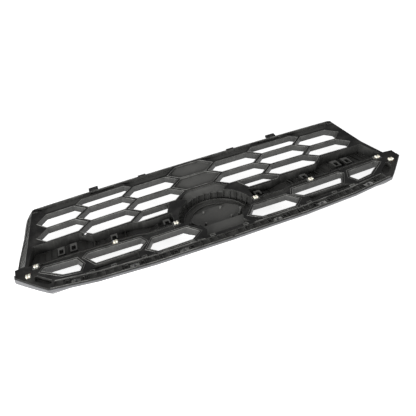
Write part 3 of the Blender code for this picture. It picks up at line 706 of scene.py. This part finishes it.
def dust_group():
    """Loose dust: more on faces that turn up, broken by two noises."""
    tree, source, sink = new_group(
        "settled_dust",
        [("Amount", "NodeSocketFloat", 0.2)],
        [("Mask", "NodeSocketFloat")],
    )
    place = tree.nodes.new("ShaderNodeTexCoord")
    geometry = tree.nodes.new("ShaderNodeNewGeometry")
    turn = tree.nodes.new("ShaderNodeSeparateXYZ")
    tree.links.new(geometry.outputs["Normal"], turn.inputs[0])
    up = step_between(tree, turn.outputs["Z"], 0.2, 0.95)
    coarse = step_between(tree, noise(tree, place.outputs["Object"], 26.0, 5.0), 0.42, 0.72)
    speck = step_between(tree, noise(tree, place.outputs["Object"], 900.0, 2.0), 0.58, 0.70)
    coarse = math_node(tree, "MULTIPLY", coarse, 0.6)
    speck = math_node(tree, "MULTIPLY", speck, 0.5)
    both = math_node(tree, "ADD", coarse, speck)
    masked = math_node(tree, "MULTIPLY", both, up)
    tree.links.new(math_node(tree, "MULTIPLY", masked, source.outputs["Amount"], True), sink.inputs["Mask"])
    return tree


GROUPS = {}


def group(name):
    """A shared shader group, made the first time that a finish asks for it."""
    makers = {"edges": edge_group, "grain": grain_group, "lattice": lattice_group, "dust": dust_group}
    if name not in GROUPS:
        GROUPS[name] = makers[name]()
    return GROUPS[name]


# ---------------------------------------------------------------- finishes
class Finish:
    """One material under construction."""

    def __init__(self, name):
        self.material = bpy.data.materials.new(name)
        self.material.use_nodes = True
        self.tree = self.material.node_tree
        self.shader = self.tree.nodes["Principled BSDF"]

    def use(self, name, **values):
        """A node of a shared group, with its values set."""
        node = self.tree.nodes.new("ShaderNodeGroup")
        node.node_tree = group(name)
        for label, value in values.items():
            node.inputs[label.replace("_", " ")].default_value = value
        return node

    def link(self, output, label):
        """Feeds one input of the surface."""
        self.tree.links.new(output, self.shader.inputs[label])

    def mix(self, factor, first, second):
        """Colour between first and second, each a colour tuple or a socket."""
        node = self.tree.nodes.new("ShaderNodeMix")
        node.data_type = "RGBA"
        self.tree.links.new(factor, node.inputs[0])
        for place, value in ((6, first), (7, second)):
            if isinstance(value, tuple):
                node.inputs[place].default_value = (*value[:3], 1.0)
            else:
                self.tree.links.new(value, node.inputs[place])
        return node.outputs[2]

    def spread(self, value, low, high, start=0.0, stop=1.0):
        """A value between low and high spread between start and stop."""
        return ramp(self.tree, value, low, high, start, stop)

    def bump(self, height, strength, distance, normal):
        """Raises the surface by a height map, on top of the rounded normal."""
        node = self.tree.nodes.new("ShaderNodeBump")
        node.inputs["Strength"].default_value = strength
        node.inputs["Distance"].default_value = distance
        self.tree.links.new(height, node.inputs["Height"])
        self.tree.links.new(normal, node.inputs["Normal"])
        self.link(node.outputs["Normal"], "Normal")

    def set(self, **values):
        """Sets inputs of the surface by name."""
        for label, value in values.items():
            self.shader.inputs[label.replace("_", " ")].default_value = value


def scaled(colour, factor):
    """A colour made darker or lighter, never past white."""
    return tuple(min(1.0, c * factor) for c in colour)


def moulded_plastic(settings):
    """Grained black plastic: grey walls, painted shade on the flat rear lands, painted light on sunk floor
    faces that turn up, painted highlights on sharp edges.
    """
    made = Finish("moulded_black_plastic")
    # land holds the painted shade colour of the flat rear lands.
    colour, land = tuple(settings.colour), tuple(settings.land_shade_colour)
    edges = made.use("edges", Radius=settings.rounding)
    grain = made.use("grain")
    lattice = made.use("lattice")
    dust = made.use("dust", Amount=0.30)
    patches = made.spread(grain.outputs["Patches"], 0.35, 0.68)
    body = made.mix(patches, scaled(colour, 0.72), scaled(colour, 1.35))
    body = made.mix(made.spread(grain.outputs["Streaks"], 0.52, 0.70, 0.0, 0.55), body, scaled(colour, 2.0))
    # Painted shade mask: flat faces that turn up near the rear surface.
    near = step_between(made.tree, lattice.outputs["Depth"], 0.0035, 0.0012)
    flat = step_between(made.tree, lattice.outputs["Up"], 0.80, 0.95)
    rear = math_node(made.tree, "MULTIPLY", near, flat)
    # Painted light: sunk floor faces that turn up are made paler, as if lit.
    sunk = step_between(made.tree, lattice.outputs["Depth"], 0.0038, 0.0056)
    painted_floor_light = math_node(made.tree, "MULTIPLY", math_node(made.tree, "MULTIPLY", sunk, flat), 0.85)
    body = made.mix(painted_floor_light, body, scaled(colour, 2.6))
    # Painted shade: the rear lands take the near-black land colour.
    body = made.mix(rear, body, land)
    # Painted highlight: sharp edges are made paler.
    body = made.mix(made.spread(edges.outputs["Edge"], 0.0, 1.0, 0.0, 0.75), body, scaled(colour, 4.2))
    body = made.mix(dust.outputs["Mask"], body, (0.16, 0.155, 0.145))
    made.link(body, "Base Color")
    made.link(made.spread(grain.outputs["Patches"], 0.3, 0.7, 0.36, 0.54), "Roughness")
    made.bump(grain.outputs["Height"], 0.35, 0.00012, edges.outputs["Normal"])
    made.set(Specular_IOR_Level=0.42)
    return made.material


def highlight_rim_plastic(settings):
    """The same black plastic where it stands proud: smoother, and much paler as a painted highlight, with
    painted highlights on its sharp edges too.
    """
    made = Finish("painted_highlight_rim_plastic")
    colour = tuple(settings.colour)
    grain = made.use("grain")
    edges = made.use("edges", Radius=settings.rounding * 0.6)
    patches = made.spread(grain.outputs["Patches"], 0.4, 0.62)
    # Painted highlight: the proud beads and frames are much paler than the moulding, and paler still on sharp
    # edges.
    body = made.mix(patches, scaled(colour, 1.8), scaled(colour, 4.6))
    body = made.mix(made.spread(edges.outputs["Edge"], 0.0, 1.0, 0.0, 0.8), body, scaled(colour, 5.0))
    made.link(body, "Base Color")
    made.link(made.spread(grain.outputs["Patches"], 0.3, 0.7, 0.24, 0.42), "Roughness")
    made.bump(grain.outputs["Height"], 0.25, 0.00008, edges.outputs["Normal"])
    made.set(Specular_IOR_Level=0.5)
    return made.material


def gloss_cover(settings):
    """Piano-black cover: clear coat over near-black, fine swirl in the coat."""
    made = Finish("gloss_black_cover")
    gloss = tuple(settings.gloss)
    grain = made.use("grain", Grain_Size=2600.0)
    edges = made.use("edges", Radius=0.0006)
    dust = made.use("dust", Amount=0.22)
    body = made.mix(grain.outputs["Patches"], scaled(gloss, 0.8), scaled(gloss, 1.4))
    # Painted highlight: sharp edges are made paler.
    body = made.mix(made.spread(edges.outputs["Edge"], 0.0, 1.0, 0.0, 0.5), body, scaled(gloss, 5.0))
    made.link(made.mix(dust.outputs["Mask"], body, (0.15, 0.15, 0.14)), "Base Color")
    made.link(made.spread(grain.outputs["Patches"], 0.3, 0.7, 0.12, 0.22), "Roughness")
    made.bump(grain.outputs["Height"], 0.12, 0.00005, edges.outputs["Normal"])
    made.set(Coat_Weight=0.8, Coat_Roughness=0.05)
    return made.material


def satin_trim(settings):
    """Satin silver paint: metal flake under a dull lacquer, with painted highlights on sharp edges."""
    made = Finish("satin_silver_paint")
    satin = tuple(settings.satin)
    grain = made.use("grain", Grain_Size=3200.0)
    edges = made.use("edges", Radius=0.0006)
    dust = made.use("dust", Amount=0.18)
    body = made.mix(made.spread(grain.outputs["Patches"], 0.3, 0.7), scaled(satin, 0.82), scaled(satin, 1.15))
    # Painted highlight: sharp edges are made paler.
    body = made.mix(made.spread(edges.outputs["Edge"], 0.0, 1.0, 0.0, 0.6), body, scaled(satin, 1.8))
    made.link(made.mix(dust.outputs["Mask"], body, (0.30, 0.29, 0.27)), "Base Color")
    made.link(made.spread(grain.outputs["Streaks"], 0.3, 0.7, 0.30, 0.44), "Roughness")
    made.bump(grain.outputs["Height"], 0.18, 0.00005, edges.outputs["Normal"])
    made.set(Metallic=0.35)
    return made.material


def bright_rim():
    """Bright plated rim."""
    made = Finish("bright_plated_rim")
    grain = made.use("grain", Grain_Size=2800.0)
    edges = made.use("edges", Radius=0.0005)
    made.link(made.mix(grain.outputs["Patches"], (0.62, 0.63, 0.64), (0.76, 0.77, 0.78)), "Base Color")
    made.link(made.spread(grain.outputs["Streaks"], 0.3, 0.7, 0.08, 0.2), "Roughness")
    made.bump(grain.outputs["Height"], 0.08, 0.00004, edges.outputs["Normal"])
    made.set(Metallic=1.0)
    return made.material


def nylon(settings):
    """Unpainted nylon: cream, slightly see-through, dull, darker where dust settles on faces that turn up,
    with painted highlights on sharp edges.
    """
    made = Finish("cream_nylon")
    cream = tuple(settings.nylon)
    grain = made.use("grain", Grain_Size=1800.0)
    edges = made.use("edges", Radius=0.0005)
    dust = made.use("dust", Amount=0.15)
    body = made.mix(made.spread(grain.outputs["Patches"], 0.3, 0.7), scaled(cream, 0.90), scaled(cream, 1.05))
    # Painted highlight: sharp edges are made paler.
    body = made.mix(edges.outputs["Edge"], body, (0.97, 0.96, 0.90))
    made.link(made.mix(dust.outputs["Mask"], body, (0.52, 0.49, 0.42)), "Base Color")
    made.link(made.spread(grain.outputs["Patches"], 0.3, 0.7, 0.36, 0.5), "Roughness")
    made.bump(grain.outputs["Height"], 0.2, 0.00006, edges.outputs["Normal"])
    made.set(Subsurface_Weight=0.12, Subsurface_Radius=(0.004, 0.003, 0.002), Subsurface_Scale=0.5)
    return made.material


def spring_steel(name, colour, rough):
    """Rolled spring steel with rolling lines and oil-dark patches."""
    made = Finish(name)
    grain = made.use("grain", Grain_Size=2400.0)
    edges = made.use("edges", Radius=0.0003)
    body = made.mix(made.spread(grain.outputs["Patches"], 0.35, 0.65), scaled(colour, 0.6), colour)
    body = made.mix(made.spread(grain.outputs["Streaks"], 0.5, 0.7, 0.0, 0.6), body, scaled(colour, 1.3))
    # Painted highlight: sharp edges are made paler.
    body = made.mix(made.spread(edges.outputs["Edge"], 0.0, 1.0, 0.0, 0.7), body, scaled(colour, 1.5))
    made.link(body, "Base Color")
    made.link(made.spread(grain.outputs["Streaks"], 0.3, 0.7, rough * 0.8, rough * 1.3), "Roughness")
    made.bump(grain.outputs["Height"], 0.25, 0.00005, edges.outputs["Normal"])
    made.set(Metallic=1.0)
    return made.material


def dress(node, finish):
    """Puts a finish in every slot of a CAD piece."""
    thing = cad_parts[node]
    if not thing.material_slots:
        thing.data.materials.append(finish)
    for place in thing.material_slots:
        place.material = finish


# ---------------------------------------------------------------- operators
class GRILLE_OT_moulding(bpy.types.Operator):
    """Finishes the main moulding and runs a bead round every opening"""

    bl_idname = "grille.moulding"
    bl_label = "Main moulding"

    def execute(self, context):
        settings = context.scene.grille_moulding
        finish = moulded_plastic(settings)
        dress("grille_body", finish)
        beads = Piece()
        section = lens_profile(settings.bead_width, settings.bead_height)
        offset = settings.bead_width * 0.5 + BEAD_GAP
        for outline in open_cells(offset):
            beads.rib(outline, section, 0.0, closed=True)
        for outline in slot_outlines():
            grown = offset_line(outline, [-offset], True)[:, 0]
            beads.rib(grown, section, 0.0, closed=True)
        for middle, above in ((CELL_HALF, TOP_EDGE - TOP_RIM), (-CELL_HALF, None)):
            beads.rib(cell_opening(0, middle, offset, above), section, 0.0, closed=True)
        # rim is the painted highlight finish of the beads, lines and frames.
        rim = highlight_rim_plastic(settings)
        beads.make("opening_beads", rim, "grille_body")
        edge_lines(settings).make("edge_lines", rim, "grille_body")
        stiffening_ribs().make("stiffening_ribs", finish, "grille_body")
        pocket_ribs().make("badge_pocket_ribs", finish, "grille_body")
        end_hatching().make("end_flange_hatching", finish, "grille_body")
        rear_frames().make("rear_frames", rim, "grille_body")
        return {"FINISHED"}


def strip_wall(shift, first, last, count=24):
    """A line that runs beside the lower edge on the +u side."""
    u = np.linspace(first, last, count)
    return np.stack([u, bottom_at(u) + shift], 1)


def edge_lines(settings):
    """Half-round lines on the rail and along both walls of the strip."""
    lines = Piece()
    section = lens_profile(settings.bead_width, settings.bead_height)
    rail = [(-0.3950, TOP_EDGE - TOP_RIM / 2), (0.3950, TOP_EDGE - TOP_RIM / 2)]
    lines.rib(rail, section, 0.0)
    lines.ribs_both(strip_wall(WALL / 2, 0.0020, 0.3700), section, 0.0)
    lines.ribs_both(strip_wall(WALL + STRIP_WIDTH + 0.0016, 0.0540, 0.3600), section, 0.0)
    return lines


def channel_limits(u):
    """v of the wing channel's lower and upper walls at u."""
    lower = ((0.092, -0.1240), (0.156, -0.1240), (0.176, -0.1180), (0.300, -0.1130), (0.412, -0.1080))
    upper = (
        (0.092, -0.0940),
        (0.150, -0.0940),
        (0.179, -0.0845),
        (0.271, -0.0825),
        (0.298, -0.0630),
        (0.404, -0.0590),
    )
    return tuple(np.interp(u, *zip(*wall)) for wall in (lower, upper))


def stiffening_ribs():
    """Low ribs across the wing channel and small walls that divide the lower strip."""
    ribs = Piece()
    channel = box_profile(0.0014, -0.0006, 0.0032)
    for first, last in CHANNEL_RUNS:
        for u in np.arange(first + 0.0060, last, 0.0135):
            low, high = channel_limits(u)
            path = [(u, low + 0.0004), (u + 0.0012, high - 0.0004)]
            ribs.ribs_both(path, channel, lambda a, b: wing_floor(b))
    divider = box_profile(0.0016, -STRIP_FLOOR - 0.0005, -0.0012)
    for u in np.arange(0.0130, 0.3500, 0.0165):
        if min(abs(u - stud) for stud in STUD_PLACES.values()) < STUD_ROOM:
            continue
        v = float(bottom_at(u)) + WALL
        ribs.ribs_both([(u, v - 0.0004), (u + 0.0012, v + STRIP_WIDTH + 0.0004)], divider, 0.0)
    for stud in STUD_PLACES.values():
        for u in (stud - SEAT_STEP, stud + SEAT_STEP):
            v = float(bottom_at(u)) + WALL + STRIP_WIDTH / 2
            ribs.ribs_both(box_path(u, v, 0.0042, 0.0046), divider, 0.0, closed=True)
    return ribs


def flange_level(u, v):
    """w of the end flange: a plane that falls away from a line beside the mesh."""
    place, slope, top = FLANGE_LINE
    return -FLANGE_FLOOR - (np.abs(u) - place - slope * (top - v)) * FLANGE_SLOPE


def end_hatching():
    """Fine slanted ribs side by side down both end flanges."""
    ribs = Piece()
    section = box_profile(0.0010, -0.0004, 0.0013)
    inner_u, inner_v, inner_slope = HATCH_INNER
    outer_u, outer_v, outer_slope = HATCH_OUTER
    for v in np.linspace(0.0240, -0.0860, 27):
        inner = inner_u + (inner_v - v) * inner_slope
        outer = outer_u + max(0.0, outer_v - v) * outer_slope
        ribs.ribs_both([(inner, v + 0.0020), (outer, v - 0.0020)], section, flange_level)
    return ribs


def box_path(u, v, long, wide):
    """Corners of a rectangle that reaches long and wide either side of its middle."""
    return np.array([(u + a * long, v + b * wide) for a, b in ((-1, -1), (1, -1), (1, 1), (-1, 1))])


def rear_frames():
    """Raised frames: round the clips, above the strip and beside the slots; and posts."""
    frames = Piece()
    low_wall = box_profile(0.0013, -0.0005, 0.0013)
    for u, v in list(CLIP_PLACES.values())[:3]:
        frames.ribs_both(box_path(u, v, 0.0072, 0.0050), low_wall, 0.0, closed=True)
    for u in (0.0360, 0.0790, 0.1360, 0.1800, 0.2420, 0.2860):
        v = float(bottom_at(u)) + WALL + STRIP_WIDTH + 0.0052
        frames.ribs_both(box_path(u, v, 0.0048, 0.0022), low_wall, 0.0, closed=True)
    thin = lens_profile(0.0013, 0.0007)
    for outline in slot_outlines():
        frames.rib(offset_line(outline, [-SLOT_MARGIN], True)[:, 0], thin, 0.0, closed=True)
    floor = -POCKET_DEEP + CHANNEL_FLOOR
    for u, v, height in ((0.0300, -0.1400, 0.0150), (0.0200, -0.1050, 0.0120), (0.0560, -0.1280, 0.0170)):
        top = floor + height
        post = rounded_outline(u, v, 0.0026, 0.0026, 16, 1.0)
        frames.stack_both(post, [(0.0, floor), (0.0, top), (-0.0008, top + 0.0006)])
    return frames


def pocket_ribs():
    """Two arcs on the badge pocket's floor and short fins up its arched wall."""
    ribs = Piece()
    floor = -POCKET_DEEP + CHANNEL_FLOOR
    radii, middle = np.array([POCKET_HALF, POCKET_RISE]), np.array([0.0, POCKET_MIDDLE])
    angle = np.radians(np.linspace(8.0, 172.0, 37))
    for share in (0.68, 0.86):
        arc = radii * share * np.stack([np.cos(angle), np.sin(angle)], 1) + middle
        ribs.rib(arc, box_profile(0.0016, floor - 0.0004, floor + 0.0075 * share), 0.0)
    fin = box_profile(0.0014, floor - 0.0004, -0.0050)
    for turn in np.radians(np.arange(14.0, 170.0, 11.0)):
        way = radii * (math.cos(turn), math.sin(turn))
        ribs.rib(np.array([way * 0.945, way * 1.004]) + middle, fin, 0.0)
    return ribs


class GRILLE_OT_retainers(bpy.types.Operator):
    """Replaces the push retainers with corrugated spring-steel plates"""

    bl_idname = "grille.retainers"
    bl_label = "Push retainers"

    def execute(self, context):
        settings = context.scene.grille_fasteners
        finish = spring_steel("bright_spring_steel", (0.74, 0.74, 0.72), 0.34)
        for label, place in STUD_PLACES.items():
            for side, word in SIDES:
                piece = Piece()
                piece.add(retainer_plate(side * place, settings.waves, settings.wave_height))
                name = f"retainer_plate_{label}_{word}"
                made = piece.make(name, finish, "push_retainer", crisp=50.0)
                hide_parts(f"push_retainer_{label}_{word}")
        return {"FINISHED"}


def retainer_plate(u, waves, height):
    """A thin plate whose top is a row of waves, flat round the stud.

    Height over the plate = half the wave height times (1 + cos(turn)), faded out within
    4 mm of the stud and along both rims; the lower skin lies one thickness below.
    """
    long, wide, thick = 0.0190, 0.0115, 0.0006
    a = np.linspace(-long / 2, long / 2, waves * 12 + 1)
    b = np.linspace(-wide / 2, wide / 2, 17)
    grid_a, grid_b = np.meshgrid(a, b, indexing="ij")
    crest = 0.5 * (1.0 + np.cos(2.0 * math.pi * waves * grid_a / long + 0.9 * grid_b / wide))
    away = np.clip((np.hypot(grid_a, grid_b) - 0.0026) / 0.0016, 0.0, 1.0)
    rim = np.clip((wide / 2 - np.abs(grid_b)) / 0.0012, 0.0, 1.0)
    top = crest * height * away * (0.25 + 0.75 * rim) + 0.0004 * (1.0 - away)
    v = bottom_at(u) + WALL + STRIP_WIDTH / 2
    tilt = math.atan2(bottom_at(u + 0.01) - bottom_at(u - 0.01), 0.02)
    across_u = u + grid_a * math.cos(tilt) - grid_b * math.sin(tilt)
    across_v = v + grid_a * math.sin(tilt) + grid_b * math.cos(tilt)
    low = -STRIP_FLOOR + 0.0003
    upper = np.dstack([across_u, across_v, low + thick + top])
    lower = np.dstack([across_u, across_v, low + top])
    return np.concatenate([upper, lower[:, ::-1]], axis=1)


class GRILLE_OT_clips(bpy.types.Operator):
    """Replaces the spring clips with sleeved heads that have barbs and a slot"""

    bl_idname = "grille.clips"
    bl_label = "Spring clips"

    def execute(self, context):
        settings = context.scene.grille_fasteners
        finish = nylon(settings)
        for label, (u, v) in CLIP_PLACES.items():
            for side, word in SIDES:
                piece = clip_shape(side * u, v, settings.clip_rise)
                made = piece.make(f"clip_head_{label}_{word}", finish, "spring_clip", crisp=45.0)
                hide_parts(f"spring_clip_{label}_{word}")
        return {"FINISHED"}


def rounded_outline(u, v, half_u, half_v, count=28, power=0.5):
    """A superellipse: cos and sin of the turn, each raised to a power below one."""
    angle = 2.0 * math.pi * (np.arange(count) + 0.5) / count
    way = np.stack([np.cos(angle), np.sin(angle)], 1)
    return (u, v) + np.array([half_u, half_v]) * np.sign(way) * np.abs(way) ** power


def clip_shape(u, v, rise):
    """A flanged sleeve, two leaves with a gap between and a barb on each."""
    piece = Piece()
    collar = [
        (0.0, -0.0105),
        (0.0, -0.0045),
        (0.0012, -0.0040),
        (0.0012, -0.0030),
        (0.0, -0.0024),
        (-0.0004, 0.0),
    ]
    piece.stack(rounded_outline(u, v, 0.0046, 0.0034), collar)
    barb = [
        (0.0, -0.0010),
        (0.0001, rise * 0.35),
        (0.0007, rise * 0.55),
        (0.0002, rise * 0.80),
        (-0.0007, rise),
    ]
    for way in (-1.0, 1.0):
        piece.stack(rounded_outline(u + way * 0.0025, v, 0.0019, 0.0031, 20, 0.4), barb)
    bridge = rounded_outline(u, v, 0.0032, 0.0010, 16, 0.4)
    piece.stack(bridge, [(0.0, -0.0010), (0.0, rise * 0.55), (-0.0003, rise * 0.62)])
    return piece


class GRILLE_OT_trim(bpy.types.Operator):
    """Finishes the gloss covers, the satin lower trim and the badge plate"""

    bl_idname = "grille.trim"
    bl_label = "Front trim"

    def execute(self, context):
        settings = context.scene.grille_trim
        gloss = gloss_cover(settings)
        for node in ("wing_garnish_left", "wing_garnish_right", "badge_base"):
            dress(node, gloss)
        dress("lower_garnish", satin_trim(settings))
        dress("badge_bezel", bright_rim())
        dark = spring_steel("dark_spring_steel", (0.10, 0.10, 0.10), 0.42)
        for node in ("top_clip_left", "top_clip_right"):
            dress(node, dark)
        return {"FINISHED"}


class GRILLE_OT_studio(bpy.types.Operator):
    """Lays the pale floor, sets the soft lights and places the camera"""

    bl_idname = "grille.studio"
    bl_label = "Studio"

    def execute(self, context):
        settings = context.scene.grille_studio
        scene = context.scene
        lay_floor(settings)
        place_camera(scene, settings)
        world = bpy.data.worlds.new("studio")
        world.use_nodes = True
        sky = world.node_tree.nodes["Background"]
        sky.inputs["Color"].default_value = (1.0, 1.0, 1.0, 1.0)
        sky.inputs["Strength"].default_value = WORLD_STRENGTH
        scene.world = world
        for name, (spot, size, power) in LIGHTS.items():
            soft_light(name, spot, size, power)
        scene.view_settings.view_transform = "Standard"
        return {"FINISHED"}


def lay_floor(settings):
    """A square plane just under the part, with a faint unevenness in its tone."""
    mesh = bpy.data.meshes.new("studio_floor")
    corners = box_path(0.0, 0.0, FLOOR_SPAN, FLOOR_SPAN)
    mesh.from_pydata([(x, y, -FLOOR_DROP) for x, y in corners.tolist()], [], [(0, 1, 2, 3)])
    floor = bpy.data.objects.new("studio_floor", mesh)
    bpy.context.scene.collection.objects.link(floor)
    paint = Finish("pale_floor")
    colour = tuple(settings.floor)
    grain = paint.use("grain", Grain_Size=60.0)
    paint.link(paint.mix(grain.outputs["Patches"], scaled(colour, 0.99), colour), "Base Color")
    paint.set(Roughness=0.9, Specular_IOR_Level=0.1)
    paint.set(Emission_Color=(1.0, 1.0, 1.0, 1.0), Emission_Strength=FLOOR_GLOW)
    mesh.materials.append(paint.material)


def soft_light(name, spot, size, power):
    """A square area light that faces the part."""
    lamp = bpy.data.lights.new(name, "AREA")
    lamp.shape = "SQUARE"
    lamp.size = size
    lamp.energy = power
    made = bpy.data.objects.new(name, lamp)
    made.location = spot
    made.rotation_euler = (Vector((0.0, 0.0, 0.02)) - Vector(spot)).to_track_quat("-Z", "Y").to_euler()
    bpy.context.scene.collection.objects.link(made)


def place_camera(scene, settings):
    """Camera on a sphere round its aim, rolled about its own axis."""
    turn, lift, roll = (math.radians(a) for a in (settings.azimuth, settings.elevation, settings.roll))
    back = Vector((math.sin(turn) * math.cos(lift), -math.cos(turn) * math.cos(lift), math.sin(lift)))
    right = Vector((math.cos(turn), math.sin(turn), 0.0))
    up = back.cross(right)
    across = right * math.cos(roll) + up * math.sin(roll)
    upright = up * math.cos(roll) - right * math.sin(roll)
    aim = Vector(SHIFT) + Vector(AIM)
    lens = bpy.data.cameras.new("camera")
    lens.lens = settings.lens
    lens.sensor_width = SENSOR
    lens.clip_start = 0.01
    camera = bpy.data.objects.new("camera", lens)
    pose = Matrix((across, upright, back)).transposed().to_4x4()
    pose.translation = aim + back * settings.distance
    camera.matrix_world = pose
    scene.collection.objects.link(camera)
    scene.camera = camera


class GRILLE_PT_panel(bpy.types.Panel):
    """Lists the grille's settings and operators"""

    bl_label = "Front grille"
    bl_idname = "GRILLE_PT_panel"
    bl_space_type = "VIEW_3D"
    bl_region_type = "UI"
    bl_category = "Grille"

    def draw(self, context):
        for name in SETTINGS:
            settings = getattr(context.scene, name)
            box = self.layout.box()
            for label in settings.__annotations__:
                box.prop(settings, label)
        for operator in OPERATORS:
            self.layout.operator(operator.bl_idname)


SETTINGS = {
    "grille_moulding": GrilleMoulding,
    "grille_fasteners": GrilleFasteners,
    "grille_trim": GrilleTrim,
    "grille_studio": GrilleStudio,
}
OPERATORS = (GRILLE_OT_moulding, GRILLE_OT_retainers, GRILLE_OT_clips, GRILLE_OT_trim, GRILLE_OT_studio)


def register():
    """Adds the settings, the operators and the panel."""
    for kind in (*SETTINGS.values(), *OPERATORS, GRILLE_PT_panel):
        bpy.utils.register_class(kind)
    for name, kind in SETTINGS.items():
        setattr(bpy.types.Scene, name, PointerProperty(type=kind))


def unregister():
    """Removes what register added."""
    for name in SETTINGS:
        delattr(bpy.types.Scene, name)
    for kind in (GRILLE_PT_panel, *reversed(OPERATORS), *reversed(SETTINGS.values())):
        bpy.utils.unregister_class(kind)


def main():
    """Runs every operator once."""
    register()
    bpy.ops.grille.moulding()
    bpy.ops.grille.retainers()
    bpy.ops.grille.clips()
    bpy.ops.grille.trim()
    bpy.ops.grille.studio()


if __name__ == "__main__":
    main()
